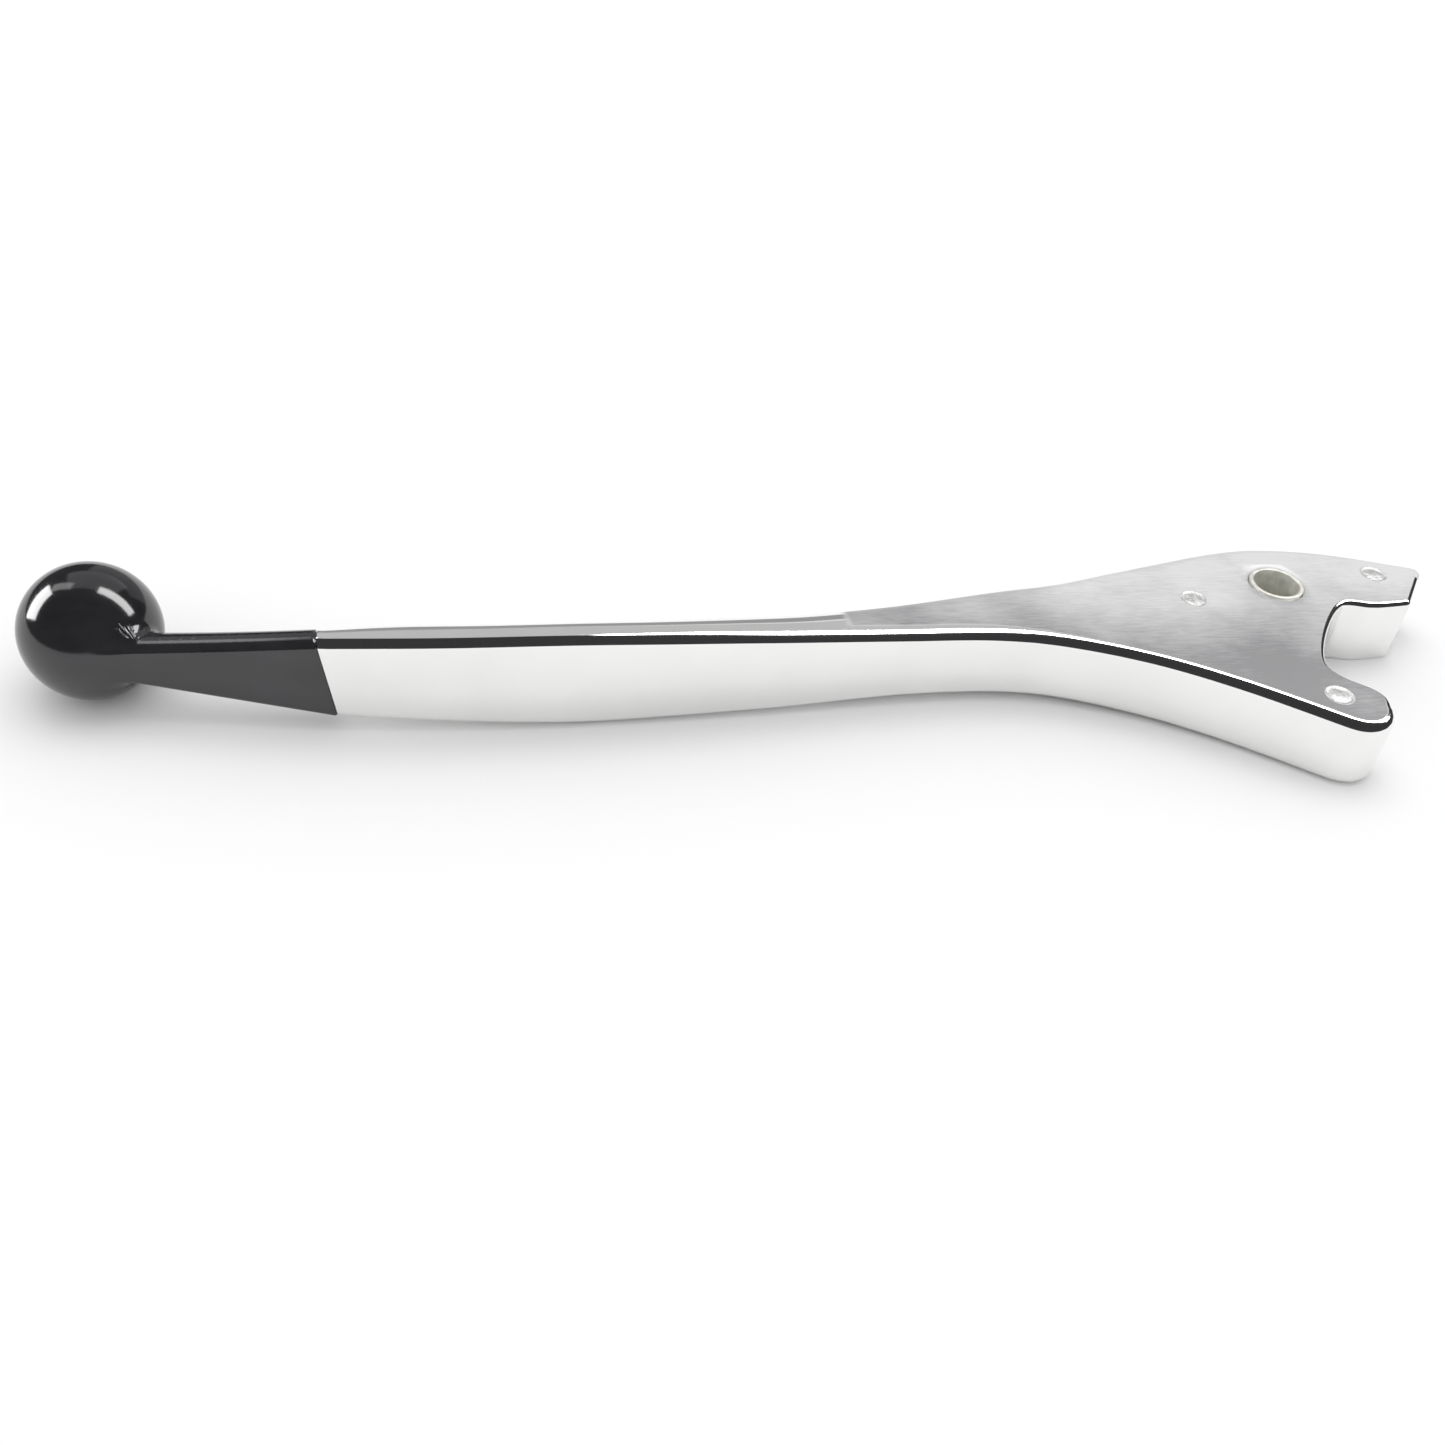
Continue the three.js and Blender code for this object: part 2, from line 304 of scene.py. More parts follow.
def add_lid(vertices, faces, rim, half_height, holes, dents, side):
    """Flat face inside the rim, with its holes' chamfers and its dents, added to the lists."""
    hole_rings = [circle(centre, radius + chamfer, HOLE_POINTS) for centre, radius, chamfer in holes]
    dent_rings = [circle(centre, radius, DENT_POINTS) for centre, radii, _ in dents for radius in radii]
    dent_depths = [depth for _, _, depths in dents for depth in depths]
    inner = grid_inside(rim, hole_rings + dent_rings)
    loops = [rim] + hole_rings + dent_rings
    plan = np.vstack(loops + [inner])
    edges = []
    start = 0
    for loop in loops:
        n = len(loop)
        edges += [(start + i, start + (i + 1) % n) for i in range(n)]
        start += n
    out, _, tris, origins, _, _ = delaunay_2d_cdt([Vector(p) for p in plan], edges, [], 1, 1e-7)
    out = np.array([tuple(p) for p in out])
    middles = np.array([out[list(t)].mean(axis=0) for t in tris])
    keep = np.ones(len(tris), bool)
    for centre, radius, chamfer in holes:
        keep &= np.hypot(*(middles - centre).T) > radius + chamfer * 0.999
    z = half_height(out[:, 0])
    depth_of = np.zeros(len(plan))
    start = len(rim) + sum(len(ring) for ring in hole_rings)
    for ring, depth in zip(dent_rings, dent_depths):
        depth_of[start:start + len(ring)] = depth
        start += len(ring)
    z -= np.array([max((depth_of[k] for k in source), key=abs, default=0) for source in origins])
    base = len(vertices)
    vertices += [np.array((p[0], p[1], side * h)) for p, h in zip(out, z)]
    faces += [tuple(base + k for k in (t if side > 0 else t[::-1])) for t, ok in zip(tris, keep) if ok]


def grid_inside(rim, rings):
    """Grid points inside the rim, clear of it and of the rings."""
    low, high = rim.min(axis=0), rim.max(axis=0)
    xs = np.arange(low[0], high[0], LID_GRID)
    ys = np.arange(low[1], high[1], LID_GRID)
    grid = np.array([(x + (row % 2) * LID_GRID / 2, y) for row, y in enumerate(ys) for x in xs])
    inside = points_inside(grid, rim)
    grid = grid[inside]
    for loop in [rim] + rings:
        spacing = np.linalg.norm(loop[1] - loop[0])
        distance = np.min(np.linalg.norm(grid[:, None] - loop[None, ::2], axis=2), axis=1)
        grid = grid[distance > max(0.35 * LID_GRID, 1.5 * spacing)]
    return grid


def points_inside(points, loop):
    """Even-odd test of many points against one loop."""
    x, y = points.T
    inside = np.zeros(len(points), bool)
    for (ax, ay), (bx, by) in zip(loop, np.roll(loop, -1, axis=0)):
        crosses = (ay > y) != (by > y)
        with np.errstate(divide="ignore", invalid="ignore"):
            inside ^= crosses & (x < (bx - ax) * (y - ay) / (by - ay) + ax)
    return inside


def add_hole_walls(vertices, faces, hole, half):
    """Chamfers and wall of a round hole right through a plate of the given half thickness."""
    centre, radius, chamfer = hole
    profile = [(radius + chamfer, half), (radius, half - chamfer), (radius, chamfer - half),
               (radius + chamfer, -half)]
    base, n = len(vertices), HOLE_POINTS
    for r, z in profile:
        vertices += [np.array((x, y, z)) for x, y in circle(centre, r, n)]
    for k in range(len(profile) - 1):
        for i in range(n):
            a, b = base + k * n, base + (k + 1) * n
            j = (i + 1) % n
            faces.append((a + i, a + j, b + j, b + i))


def raise_to_mid_height(vertices):
    return [v + np.array((0, 0, MID_HEIGHT)) for v in vertices]


def keep_side(obj, point, normal):
    """Cuts a closed mesh by a plane, keeps the side that the normal points to, and closes it."""
    bm = bmesh.new()
    bm.from_mesh(obj.data)
    cut = bmesh.ops.bisect_plane(
        bm, geom=bm.verts[:] + bm.edges[:] + bm.faces[:], plane_co=point, plane_no=normal,
        clear_inner=True)["geom_cut"]
    bmesh.ops.holes_fill(bm, edges=[e for e in cut if isinstance(e, bmesh.types.BMEdge)])
    bmesh.ops.recalc_face_normals(bm, faces=bm.faces)
    bm.to_mesh(obj.data)
    bm.free()


def weld(obj, distance=1e-7):
    bm = bmesh.new()
    bm.from_mesh(obj.data)
    bmesh.ops.remove_doubles(bm, verts=bm.verts, dist=distance)
    bmesh.ops.recalc_face_normals(bm, faces=bm.faces)
    bm.to_mesh(obj.data)
    bm.free()


def duplicate(obj):
    copy = bpy.data.objects.new(obj.name + "_copy", obj.data.copy())
    bpy.context.scene.collection.objects.link(copy)
    return copy


def boolean(obj, other, operation):
    """Joins or cuts obj with other, and removes other."""
    modifier = obj.modifiers.new("boolean", "BOOLEAN")
    modifier.operation = operation
    modifier.solver = "MANIFOLD"
    modifier.object = other
    apply_modifiers(obj)
    bpy.data.objects.remove(other)


def apply_modifiers(obj):
    depsgraph = bpy.context.evaluated_depsgraph_get()
    mesh = bpy.data.meshes.new_from_object(obj.evaluated_get(depsgraph))
    obj.modifiers.clear()
    obj.data = mesh


# ---- The joint between casting and cap ----

def cap_mouth(height):
    """Furthest x of the cap's cut at a height above the mid-plane."""
    return plan_section("ball_end_cap", height)[:, 0].max()


MOUTH_RISE = 2 * MM
JOINT_POINT = Vector((cap_mouth(0), 0, MID_HEIGHT))
JOINT_NORMAL = Vector((MOUTH_RISE, 0, cap_mouth(0) - cap_mouth(MOUTH_RISE))).normalized()


# ---- Pieces ----

def front_rounding(x):
    """How far the bar side's edge rounding reaches, across and down: a broad soft edge on the neck."""
    share = smoothstep(x, *SOFT_EDGE_BEGINS) * (1 - smoothstep(x, *SOFT_EDGE_ENDS))
    across = BAR_SIDE_ROUNDING + (SOFT_EDGE_ACROSS - BAR_SIDE_ROUNDING) * share
    down = BAR_SIDE_ROUNDING + (SOFT_EDGE_DOWN - BAR_SIDE_ROUNDING) * share
    return across, down


def run_on(before, end):
    """Point past the end of a line, in the line's direction, that the cap hides."""
    return end - (before - end) / np.linalg.norm(before - end) * HIDDEN_LENGTH


def casting():
    """The lever blade: grip, neck, plate, nose and prong. The tang that the cap sits on is made apart
    and joined on later.
    """
    loop = plan_section("lever_blade")
    joint_x = JOINT_POINT.x + CLEAR_OF_JOINT
    past_joint = loop[:, 0] > joint_x
    on_bar_side = loop[:, 1] <= loop[:, 1].mean()
    start = np.argmin(np.where(past_joint & on_bar_side, loop[:, 0], np.inf))
    loop = np.roll(loop, -start, axis=0)
    loop = loop[loop[:, 0] > joint_x]
    first = run_on(loop[2], loop[0])
    last = run_on(loop[-3], loop[-1])
    outline = resample(smooth_closed(np.vstack([first, loop, last])), OUTLINE_STEP)

    stations, _, _, tops = cross_sizes("lever_blade", joint_x + 1 * MM, PLATE_STARTS, 30)
    fine = np.linspace(stations[0], stations[-1], HEIGHT_POINTS)
    kernel = np.hanning(2 * HEIGHT_REACH + 1)
    padded = np.pad(np.interp(fine, stations, tops), HEIGHT_REACH, mode="reflect", reflect_type="odd")
    heights = np.convolve(padded, kernel / kernel.sum(), mode="valid")

    def half_height(x):
        slope = (heights[1] - heights[0]) / (fine[1] - fine[0])
        return np.where(x < fine[0], heights[0] + slope * (x - fine[0]), np.interp(x, fine, heights))

    x, y = outline.T
    bar_side = outline[(y < loop[0][1] + BAR_SIDE_BAND) & (x < PLATE_STARTS)]
    bar_side = bar_side[np.argsort(bar_side[:, 0])]
    depth = y - np.interp(x, bar_side[:, 0], bar_side[:, 1])
    on_back = (depth > BAR_SIDE_ROUNDING) & ~((x > NOTCH_X) & (y < PIVOT.y))
    in_notch = (x > NOTCH_X) & (y < PIVOT.y) & (y > NOTCH_FOOT)
    to_prong = smoothstep(x, PIVOT.x, PIVOT.x + PRONG_LENGTH)
    plate = PLATE_BACK_ROUNDING + (NOTCH_ROUNDING - PLATE_BACK_ROUNDING) * to_prong
    to_plate = smoothstep(x, ROUND_BACK_ENDS, PLATE_EDGE_STARTS)
    round_across = BACK_ROUNDING_SHARE * depth
    round_down = FULL_ROUND * half_height(x)
    front_across, front_down = front_rounding(x)
    across = np.where(on_back, round_across + (plate - round_across) * to_plate, front_across)
    down = np.where(on_back, round_down + (plate - round_down) * to_plate, front_down)
    across = np.where(in_notch, NOTCH_ROUNDING, across)
    down = np.where(in_notch, NOTCH_ROUNDING, down)
    hidden_end = x < JOINT_POINT.x - HIDDEN_STARTS
    across = smoothed(np.where(hidden_end, HIDDEN_ROUNDING, across), 4)
    down = smoothed(np.where(hidden_end, HIDDEN_ROUNDING, down), 4)

    bore_radius = (BUSH_HIGH.x - BUSH_LOW.x) / 2 + BUSH_CLEARANCE
    bore = (np.array(PIVOT.xy), bore_radius, BORE_CHAMFER)
    shares, millimetres = np.array(EJECTOR_RINGS).T
    radii = EJECTOR_RADIUS * shares
    depths = millimetres * MM
    dents = [(np.array(PIVOT.xy) + np.array(mark) * MM, radii, depths) for mark in EJECTOR_MARKS]
    vertices, faces = rounded_solid(outline, half_height, across, down, [bore], dents)
    add_hole_walls(vertices, faces, bore, float(half_height(np.array([PIVOT.x]))[0]))
    obj = new_object("blade_casting", raise_to_mid_height(vertices), faces)
    weld(obj)
    keep_side(obj, JOINT_POINT + Vector((JOINT_GAP, 0, 0)), JOINT_NORMAL)
    return obj, half_height, bar_side


def blade_tang():
    """The stub on the end of the blade that the cap sits on, run on a little way past the joint."""
    obj = new_object("tang", [], [])
    obj.data = frame["nodes"]["lever_blade"].data.copy()
    edge = JOINT_POINT + Vector((JOINT_GAP / 2, 0, 0))
    weld(obj)
    keep_side(obj, edge, -JOINT_NORMAL)
    for vertex in obj.data.vertices:
        if (vertex.co - edge).dot(JOINT_NORMAL) > -0.01 * MM:
            vertex.co.x += 1 * MM
    return obj


def grow(obj, room):
    """Moves a mesh's points outwards."""
    normals = [v.normal.copy() for v in obj.data.vertices]
    for vertex, normal in zip(obj.data.vertices, normals):
        vertex.co += normal * room


def cap():
    """The ball end and its sleeve as one moulding."""
    loop = plan_section("ball_end_cap")
    ball = loop[loop[:, 0] < CAP_LOW.x + BALL_RADIUS]
    centre = Vector((CAP_LOW.x + BALL_RADIUS, (ball[:, 1].max() + ball[:, 1].min()) / 2, MID_HEIGHT))

    clear_of_ball = centre.x + 1.2 * BALL_RADIUS
    stations, *sizes = cross_sizes("ball_end_cap", clear_of_ball, JOINT_POINT.x - 1.5 * MM, 20)
    bar_side, finger_side, height = (np.polyfit(stations, size, 2) for size in sizes)
    sleeve = sleeve_between(centre.x + 0.5 * MM, JOINT_POINT.x + 4 * MM, bar_side, finger_side, height)

    obj = new_object("cap_moulding", [], [])
    bm = bmesh.new()
    place = Matrix.Translation(centre)
    bmesh.ops.create_icosphere(bm, subdivisions=6, radius=BALL_RADIUS, matrix=place)
    bm.to_mesh(obj.data)
    bm.free()
    boolean(obj, duplicate(sleeve), "UNION")
    remesh = obj.modifiers.new("remesh", "REMESH")
    remesh.mode = "VOXEL"
    remesh.voxel_size = CAP_VOXEL
    remesh.adaptivity = 0
    apply_modifiers(obj)
    blend_ball_and_sleeve(obj, centre, sleeve)
    bpy.data.objects.remove(sleeve)
    bevel_rim(obj)
    keep_side(obj, JOINT_POINT, -JOINT_NORMAL)
    return obj


def bevel_rim(obj):
    """Draws the moulding's skin in towards the joint, so that its rim has a chamfer."""
    normals = [v.normal.copy() for v in obj.data.vertices]
    for vertex, normal in zip(obj.data.vertices, normals):
        from_joint = (JOINT_POINT - vertex.co).dot(JOINT_NORMAL)
        if from_joint < CAP_RIM:
            vertex.co -= normal * (CAP_RIM - max(from_joint, 0))


def sleeve_between(first, last, bar_side, finger_side, height):
    """The sleeve as a loft along x: a flat bar side with small fillets, and a full round finger side.

    bar_side, finger_side and height are polynomials of x: the two sides' y and the half height.
    """
    turn = np.linspace(0, math.pi / 2, 2 * ROUNDING_STEPS)
    vertices, faces = [], []
    stations = np.linspace(first, last, CAP_STATIONS)
    for x in stations:
        bar, finger, half = (np.polyval(line, x) for line in (bar_side, finger_side, height))
        across = CAP_BACK_SHARE * (finger - bar)
        down = FULL_ROUND * half
        upper = [(bar + CAP_EDGE_ACROSS * (1 - math.cos(t)), half - CAP_EDGE_DOWN * (1 - math.sin(t)))
                 for t in turn]
        upper += [(finger - across * (1 - math.sin(t)), half - down * (1 - math.cos(t))) for t in turn]
        ring = upper + [(y, -z) for y, z in reversed(upper)]
        vertices += [(x, y, MID_HEIGHT + z) for y, z in ring]
    n = len(ring)
    for k in range(len(stations) - 1):
        for i in range(n):
            j = (i + 1) % n
            faces.append((k * n + i, k * n + j, (k + 1) * n + j, (k + 1) * n + i))
    faces += [tuple(range(n))[::-1], tuple(range(len(vertices) - n, len(vertices)))]
    obj = new_object("sleeve", vertices, faces)
    weld(obj)
    return obj


def blend_ball_and_sleeve(obj, centre, sleeve):
    """Moves the moulding's points onto the ball and the sleeve, with a soft fillet between them."""
    tree = BVHTree.FromPolygons([v.co for v in sleeve.data.vertices],
                                [p.vertices for p in sleeve.data.polygons])
    bm = bmesh.new()
    bm.from_mesh(obj.data)
    for _ in range(FILLET_ROUNDS):
        in_fillet = [v for v in bm.verts if settle(v, centre, tree) > 0]
        bmesh.ops.smooth_vert(bm, verts=in_fillet, factor=0.5, use_axis_x=True, use_axis_y=True,
                              use_axis_z=True)
    for vertex in bm.verts:
        settle(vertex, centre, tree)
    bm.to_mesh(obj.data)
    bm.free()


def settle(vertex, centre, tree):
    """Moves a point onto the blended skin and returns how deep in the fillet it is, from 0 to 1."""
    for _ in range(SETTLING_ROUNDS):
        from_ball = vertex.co - centre
        to_ball = from_ball.length - BALL_RADIUS
        near, normal, _, gap = tree.find_nearest(vertex.co)
        outside = gap > 1.3 * CAP_BLEND or (vertex.co - near).dot(normal) > 0
        to_sleeve = gap if outside else -gap
        away = (vertex.co - near).normalized() * (1 if outside else -1) if gap > 0.001 * MM else normal
        share = max(CAP_BLEND - abs(to_ball - to_sleeve), 0) / CAP_BLEND
        level = min(to_ball, to_sleeve) - share * share * CAP_BLEND / 4
        ball_part = share / 2 if to_ball > to_sleeve else 1 - share / 2
        step = from_ball.normalized() * ball_part + away * (1 - ball_part)
        vertex.co -= step.normalized() * level
    return share


def bush():
    """The plain bearing in the pivot bore: a turned sleeve with small round chamfers."""
    outer = (BUSH_HIGH.x - BUSH_LOW.x) / 2
    inner = outer - BUSH_WALL
    half = (BUSH_HIGH.z - BUSH_LOW.z) / 2
    turn = np.linspace(0, math.pi / 2, 5)
    profile = []
    for r, z, first in ((outer, half, 0), (inner, half, 1), (inner, -half, 2), (outer, -half, 3)):
        middle = (r + BUSH_CORNER * (-1 if r == outer else 1), z - math.copysign(BUSH_CORNER, z))
        for angle in turn + first * math.pi / 2:
            profile.append((middle[0] + BUSH_CORNER * math.cos(angle),
                            middle[1] + BUSH_CORNER * math.sin(angle)))
    n = BUSH_POINTS
    vertices = [(x, y, MID_HEIGHT + z) for r, z in profile for x, y in circle(PIVOT.xy, r, n)]
    faces = []
    for k in range(len(profile)):
        after = (k + 1) % len(profile)
        for i in range(n):
            j = (i + 1) % n
            faces.append((k * n + i, k * n + j, after * n + j, after * n + i))
    obj = new_object("bush_liner", vertices, faces)
    weld(obj)
    return obj


# ---- Materials ----

class Nodes:
    """A material's node tree, with short ways to add to it."""

    def __init__(self, name):
        self.material = bpy.data.materials.new(name)
        self.material.use_nodes = True
        self.tree = self.material.node_tree
        self.shader = self.tree.nodes["Principled BSDF"]

    def add(self, kind, settings=None, **inputs):
        """Adds a node; inputs are numbers, colours or another node's output."""
        node = self.tree.nodes.new(kind)
        for key, value in (settings or {}).items():
            setattr(node, key, value)
        for key, value in inputs.items():
            self.set(node, key.replace("_", " "), value)
        return node

    def set(self, node, key, value):
        sockets = [s for s in node.inputs if s.name == key and s.enabled] or [node.inputs[key]]
        if isinstance(value, bpy.types.NodeSocket):
            self.tree.links.new(value, sockets[0])
        else:
            sockets[0].default_value = value

    def place(self):
        return self.add("ShaderNodeTexCoord").outputs["Object"]

    def stretched(self, vector, scale):
        return self.add("ShaderNodeMapping", Vector=vector, Scale=scale).outputs[0]

    def attribute(self, name):
        return self.add("ShaderNodeAttribute", {"attribute_name": name}).outputs["Fac"]

    def noise(self, vector, scale, detail=2.0, roughness=0.5):
        node = self.add("ShaderNodeTexNoise", Vector=vector, Scale=scale, Detail=detail,
                        Roughness=roughness)
        return node.outputs[0]

    def map(self, value, low, high, from_low=0.0, from_high=1.0):
        node = self.add("ShaderNodeMapRange", Value=value)
        self.set(node, "From Min", from_low)
        self.set(node, "From Max", from_high)
        self.set(node, "To Min", low)
        self.set(node, "To Max", high)
        return node.outputs[0]

    def math(self, operation, first, second):
        node = self.tree.nodes.new("ShaderNodeMath")
        node.operation = operation
        for socket, value in zip(node.inputs, (first, second)):
            if isinstance(value, bpy.types.NodeSocket):
                self.tree.links.new(value, socket)
            else:
                socket.default_value = value
        return node.outputs[0]

    def mix(self, share, first, second, kind="RGBA", sockets=(0, 6, 7), out=2):
        """Colour between two colours."""
        node = self.tree.nodes.new("ShaderNodeMix")
        node.data_type = kind
        for k, value in zip(sockets, (share, first, second)):
            if isinstance(value, bpy.types.NodeSocket):
                self.tree.links.new(value, node.inputs[k])
            else:
                node.inputs[k].default_value = value
        return node.outputs[out]

    def blend(self, share, first, second):
        """Number between two numbers."""
        return self.mix(share, first, second, "FLOAT", (0, 2, 3), 0)

    def bump(self, height, distance, strength=1.0, under=None):
        node = self.add("ShaderNodeBump", Height=height, Distance=distance, Strength=strength)
        if under is not None:
            self.set(node, "Normal", under)
        return node.outputs[0]


def aluminium():
    """Cast aluminium: polished, with a ground satin plate and as-cast ejector-pin marks."""
    n = Nodes("cast_aluminium_finish")
    place = n.place()
    satin = n.attribute("satin")
    mark = n.attribute("mark")
    depth = n.attribute("depth")
    streaks = n.noise(n.stretched(place, (60, 900, 900)), 1.0, 4.0, 0.6)
    wide = n.noise(place, 90.0, 3.0)
    grain = n.noise(n.stretched(place, (450, 4200, 2600)), 1.0, 4.0, 0.65)
    pits = n.noise(place, 1400.0, 4.0, 0.7)

    rough = n.blend(satin, n.map(streaks, 0.045, 0.12), n.map(grain, 0.4, 0.52))
    n.set(n.shader, "Roughness", n.blend(mark, rough, n.map(pits, 0.3, 0.5)))
    n.set(n.shader, "Metallic", n.blend(mark, n.blend(satin, 1.0, 0.08), 0.3))
    tone = n.mix(n.map(wide, 0, 1, 0.3, 0.7), (0.86, 0.865, 0.855, 1), (0.91, 0.91, 0.90, 1))
    # Painted shade and light: the satin is painted darker near the bar side and lighter towards the
    # back, with random tone and grain on top.
    painted_shade_and_random_tone = n.math("ADD", depth, n.map(wide, -0.2, 0.2, 0.3, 0.7))
    satin_grain_and_painted_shade = n.mix(n.math("ADD", painted_shade_and_random_tone, n.map(grain, -0.15, 0.15, 0.3, 0.7)),
                 (0.22, 0.22, 0.226, 1), (0.62, 0.62, 0.625, 1))
    cast = n.mix(n.map(pits, 0, 1, 0.35, 0.65), (0.36, 0.36, 0.35, 1), (0.66, 0.66, 0.65, 1))
    n.set(n.shader, "Base Color", n.mix(mark, n.mix(satin, tone, satin_grain_and_painted_shade), cast))
    fine = n.bump(n.math("MULTIPLY", grain, satin), 0.008 * MM, 0.5)
    rugged = n.bump(n.math("MULTIPLY", pits, mark), 0.08 * MM, 0.8, fine)
    n.set(n.shader, "Normal", n.bump(wide, 0.05 * MM, 0.3, rugged))
    return n.material


def black_plastic():
    """Glossy black moulded plastic with faint orange peel and handling scratches."""
    n = Nodes("black_plastic_finish")
    place = n.place()
    peel = n.noise(place, 900.0, 2.0)
    smears = n.noise(n.stretched(place, (90, 220, 220)), 1.0, 4.0, 0.6)
    n.set(n.shader, "Base Color", n.mix(n.map(smears, 0, 1, 0.35, 0.7),
                                        (0.012, 0.012, 0.014, 1), (0.022, 0.022, 0.025, 1)))
    n.set(n.shader, "Roughness", n.map(smears, 0.07, 0.16))
    n.set(n.shader, "Specular IOR Level", 0.75)
    n.set(n.shader, "Normal", n.bump(peel, 0.01 * MM, 0.4))
    return n.material


def bronze():
    """Dull turned bronze, with fine rings from the tool."""
    n = Nodes("bronze_finish")
    place = n.place()
    rings = n.noise(n.stretched(place, (120, 120, 9000)), 1.0, 3.0)
    stain = n.noise(place, 700.0, 4.0)
    n.set(n.shader, "Base Color", n.mix(n.map(stain, 0, 1, 0.3, 0.7),
                                        (0.55, 0.545, 0.50, 1), (0.78, 0.775, 0.71, 1)))
    n.set(n.shader, "Metallic", 0.35)
    n.set(n.shader, "Roughness", n.map(stain, 0.32, 0.5))
    n.set(n.shader, "Normal", n.bump(rings, 0.01 * MM, 0.6))
    return n.material


def mark_surfaces(obj, half_height, bar_side):
    """Writes what the aluminium reads: which points are satin, which are in ejector-pin marks, and
    how far back from the bar side they lie."""
    mesh = obj.data
    places = np.array([v.co for v in mesh.vertices])
    below = half_height(places[:, 0]) - np.abs(places[:, 2] - MID_HEIGHT)
    middles = [PIVOT.xy + Vector(mark) * MM for mark in EJECTOR_MARKS]
    to_mark = np.min([np.hypot(*(places[:, :2] - middle).T) for middle in middles], axis=0)
    upper = places[:, 2] > MID_HEIGHT
    in_mark = upper & (to_mark < 1.05 * EJECTOR_RADIUS) & (below < 0.3 * MM)
    x, y = places[:, 0], places[:, 1]
    past_fillet = y - np.interp(x, *bar_side.T) > front_rounding(x)[0] + SATIN_FRONT_MARGIN
    on_back = np.where(x < PLATE_STARTS, past_fillet, y > SATIN_PLATE_BACK)
    coming_in = smoothstep(x, SATIN_STARTS, SATIN_STARTS + SATIN_SIDE_COMES_IN)
    going_out = 1 - smoothstep(x, PIVOT.x, PLATE_END)
    side = np.where(below < SATIN_EDGE, 1, coming_in * going_out)
    ground = np.maximum(on_back * side, below < FLAT)
    ground = ground * smoothstep(x, SATIN_STARTS, SATIN_STARTS + SATIN_COMES_IN)
    # The depth sets the satin's painted shade: darker near the bar side, lighter towards the back.
    depth = smoothstep(y - np.interp(x, *bar_side.T), *PAINTED_SHADE_RANGE)
    for name, values in (("satin", np.where(in_mark, 0, ground)), ("mark", in_mark), ("depth", depth)):
        attribute = mesh.attributes.new(name, "FLOAT", "POINT")
        attribute.data.foreach_set("value", np.asarray(values, float))


def level_flats(obj, half_height):
    """Gives the flat faces their true normals, so that their triangles don't show in the polish."""
    mesh = obj.data
    places = np.array([v.co for v in mesh.vertices])
    reach = 1 * MM
    slope = (half_height(places[:, 0] + reach) - half_height(places[:, 0] - reach)) / (2 * reach)
    level = half_height(places[:, 0]) - np.abs(places[:, 2] - MID_HEIGHT) < 0.0005 * MM
    normals = [corner.vector.copy() for corner in mesh.corner_normals]
    for loop in mesh.loops:
        side = normals[loop.index].z
        if level[loop.vertex_index] and abs(side) > 0.97:
            up = math.copysign(1, side)
            normals[loop.index] = Vector((-slope[loop.vertex_index], 0, up)).normalized()
    mesh.normals_split_custom_set(normals)


def dress(obj, node, body, material):
    """Puts a fine piece in the place of its CAD node."""
    obj.data.materials.clear()
    obj.data.materials.append(material)
    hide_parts(node)
    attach(obj, body)


# ---- Stage, camera and light ----

FLOOR_LEAN = math.radians(-1.27)
AIM = Vector((-9.65, -10.07, 8.1)) * MM
CAMERA_DISTANCE = 173.4 * MM
CAMERA_AZIMUTH = math.radians(-13.0)
CAMERA_ELEVATION = math.radians(39.98)
CAMERA_ROLL = math.radians(7.14)
CAMERA_LENS = 37.37
BOX_DISTANCE = 0.45
ROOM_LIGHT = 0.98
ROOM_IN_REFLECTIONS = 0.04, 0.04, 0.042
FILL_LIGHT = 1.3


# Lamps seen only in reflections: name, the directions of its two ends, width in metres, radiance.
SOFTBOXES = (
    ("right_softbox", (0.92, 0.13, 0.36), (0.25, 0.35, 0.90), 0.1, 9),
    ("left_softbox", (-0.975, 0.17, 0.14), (-0.67, 0.49, 0.56), 0.18, 11),
    ("left_glow", (-0.64, 0.49, 0.59), (-0.30, 0.42, 0.86), 0.09, 2),
    ("ceiling_card", (0.58, 0.53, 0.62), (-0.40, 0.60, 0.70), 0.3, 0.5),
    ("back_card", (0.75, 0.62, 0.22), (-0.1, 0.97, 0.25), 0.2, 0.3),
)


def add_camera():
    data = bpy.data.cameras.new("camera")
    data.lens = CAMERA_LENS
    data.sensor_width = 36
    data.clip_start = 0.005
    camera = bpy.data.objects.new("camera", data)
    bpy.context.scene.collection.objects.link(camera)
    tilt = Matrix.Rotation(math.pi / 2 - CAMERA_ELEVATION, 4, "X")
    look = Matrix.Rotation(CAMERA_AZIMUTH, 4, "Z") @ tilt
    turn = look @ Matrix.Rotation(CAMERA_ROLL, 4, "Z")
    back = look.to_3x3() @ Vector((0, 0, CAMERA_DISTANCE))
    camera.matrix_world = Matrix.Translation(AIM + back) @ turn
    bpy.context.scene.camera = camera


def add_floor():
    """White paper, leaning a little because the lever rests on its ball and on the plate's end."""
    mesh = bpy.data.meshes.new("paper")
    bm = bmesh.new()
    bmesh.ops.create_grid(bm, x_segments=8, y_segments=8, size=2)
    bm.to_mesh(mesh)
    bm.free()
    floor = bpy.data.objects.new("paper", mesh)
    bpy.context.scene.collection.objects.link(floor)
    touch = Vector((CAP_LOW.x + BALL_RADIUS, 0, 0))
    floor.matrix_world = Matrix.Translation(touch) @ Matrix.Rotation(FLOOR_LEAN, 4, "Y")
    n = Nodes("paper_finish")
    n.set(n.shader, "Base Color", (0.86, 0.86, 0.86, 1))
    n.set(n.shader, "Roughness", 0.9)
    n.set(n.shader, "Specular IOR Level", 0.0)
    mesh.materials.append(n.material)


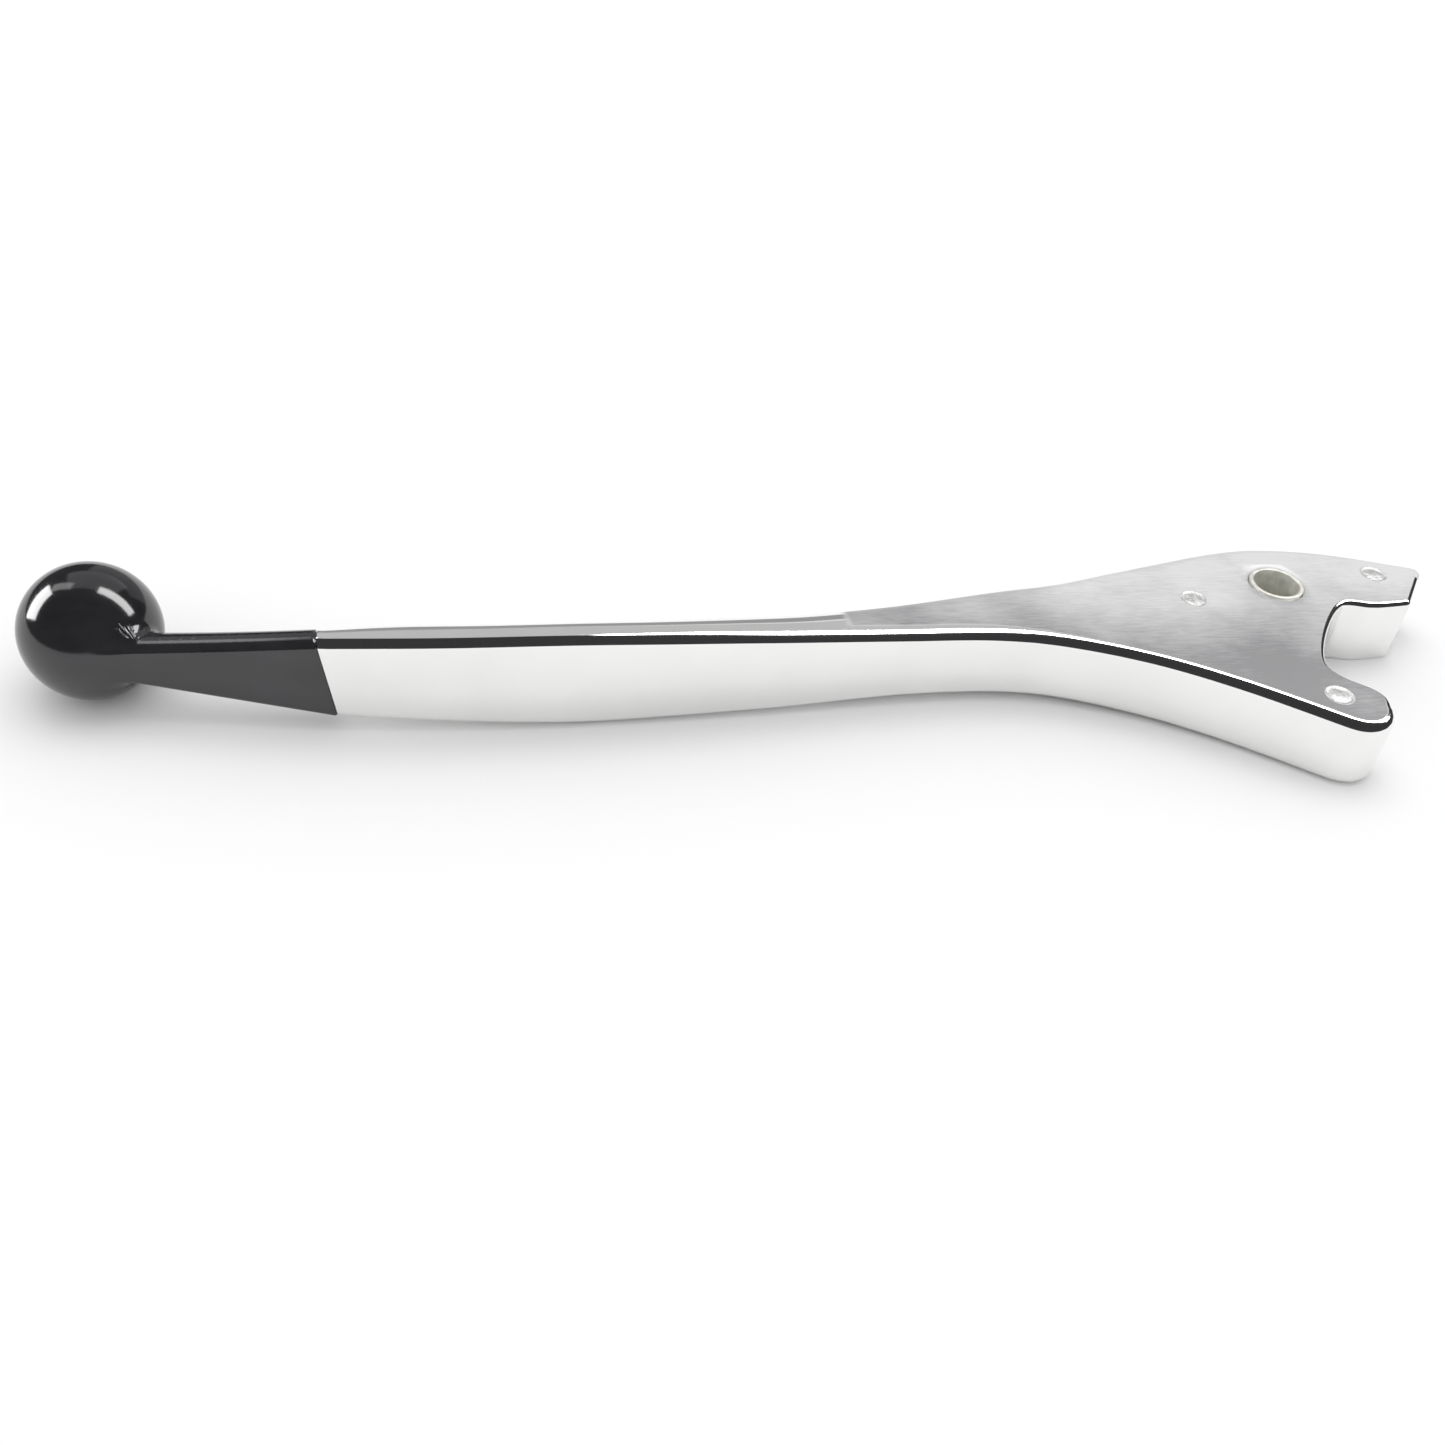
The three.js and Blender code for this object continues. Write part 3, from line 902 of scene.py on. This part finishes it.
def add_area(name, place, size, radiance, up=(0, 1, 0)):
    """Rectangular light that faces the object, with its length along up."""
    data = bpy.data.lights.new(name, "AREA")
    data.shape = "RECTANGLE"
    data.size, data.size_y = size
    data.energy = radiance * math.pi * size[0] * size[1]
    light = bpy.data.objects.new(name, data)
    bpy.context.scene.collection.objects.link(light)
    y = Vector(up).normalized()
    z = place - place.dot(y) * y
    z.normalize()
    x = y.cross(z)
    light.matrix_world = Matrix.Translation(place) @ Matrix((x, y, z)).transposed().to_4x4()
    return light


def add_softbox(name, low, high, width, radiance):
    """Long lamp that shows as a highlight, between two directions as the ball end sees them."""
    ball = CAP_LOW + Vector((1, 1, 1)) * BALL_RADIUS
    low, high = (ball + Vector(end).normalized() * BOX_DISTANCE for end in (low, high))
    light = add_area(name, (low + high) / 2, (width, (high - low).length), radiance, high - low)
    light.visible_diffuse = False


def add_light():
    scene = bpy.context.scene
    scene.view_settings.view_transform = "Standard"
    world = bpy.data.worlds.new("room")
    world.use_nodes = True
    scene.world = world
    tree = world.node_tree
    background = tree.nodes["Background"]
    path = tree.nodes.new("ShaderNodeLightPath")
    mix = tree.nodes.new("ShaderNodeMix")
    mix.data_type = "RGBA"
    tree.links.new(path.outputs["Is Glossy Ray"], mix.inputs[0])
    mix.inputs[6].default_value = (ROOM_LIGHT, ROOM_LIGHT, ROOM_LIGHT, 1)
    mix.inputs[7].default_value = (*ROOM_IN_REFLECTIONS, 1)
    tree.links.new(mix.outputs[2], background.inputs["Color"])
    fill = add_area("overhead_fill", Vector((0.05, 0.18, 0.85)), (0.9, 0.6), FILL_LIGHT)
    fill.visible_glossy = False
    for softbox in SOFTBOXES:
        add_softbox(*softbox)


# ---- The scene ----

add_camera()
add_floor()
add_light()

blade, blade_half_height, blade_bar_side = casting()
tang = blade_tang()
blade_cap = cap()
cavity = duplicate(tang)
grow(cavity, TANG_ROOM)
boolean(blade, tang, "UNION")
boolean(blade_cap, cavity, "DIFFERENCE")
liner = bush()

mark_surfaces(blade, blade_half_height, blade_bar_side)
dress(blade, "lever_blade", "lever", aluminium())
dress(blade_cap, "ball_end_cap", "lever", black_plastic())
dress(liner, "pivot_bush", "bush", bronze())
shade_smooth(blade)
level_flats(blade, blade_half_height)
shade_smooth(blade_cap)
shade_smooth(liner)
